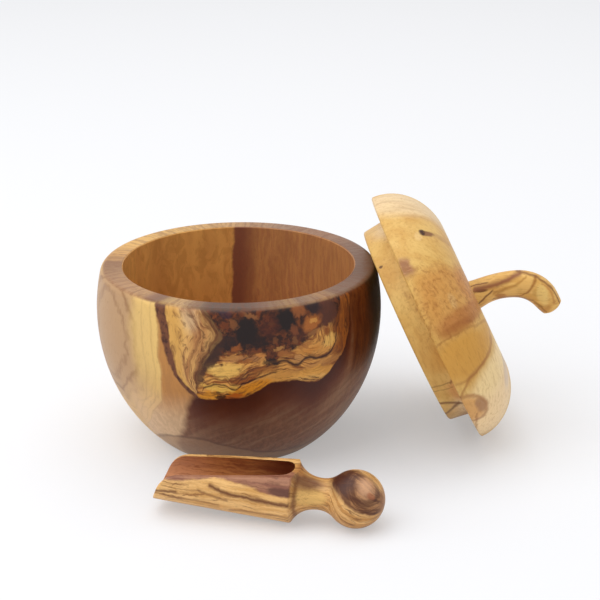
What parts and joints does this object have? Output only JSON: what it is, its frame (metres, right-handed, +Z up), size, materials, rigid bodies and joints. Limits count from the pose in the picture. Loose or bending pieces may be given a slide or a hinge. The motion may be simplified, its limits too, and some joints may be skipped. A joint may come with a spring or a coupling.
{
  "type": "salt box",
  "caption": "Round wooden salt bowl with a loose domed lid leaning on its rim and a small wooden scoop in front.",
  "frame": {"origin": "centre of the bowl's flat foot, on the table it stands on", "axes": "+Z up along the bowl's axis; +X from the bowl towards the lid that leans on its right side; -Y towards the scoop that lies in front"},
  "size_m": [0.1913, 0.1561, 0.1],
  "materials": {
    "bowl_olive_wood": "oiled satin, dark figured heartwood with a pale sapwood side",
    "lid_olive_wood": "oiled satin, pale golden",
    "stalk_olive_wood": "oiled satin, golden with brown stripes",
    "scoop_olive_wood": "oiled satin, golden with dark lengthwise streaks"
  },
  "bodies": {
    "bowl": {"bowl": "bowl_olive_wood"},
    "lid": {"lid": "lid_olive_wood", "stalk": "stalk_olive_wood"},
    "scoop": {"scoop": "scoop_olive_wood"}
  },
  "joints": [
    {"name": "lid_lift", "type": "slide", "parent": "bowl", "child": "lid", "axis": [0, 0, 1], "range_m": [0, 0.12]},
    {"name": "scoop_lift", "type": "slide", "parent": "bowl", "child": "scoop", "axis": [0, 0, 1], "range_m": [0, 0.08]}
  ]
}
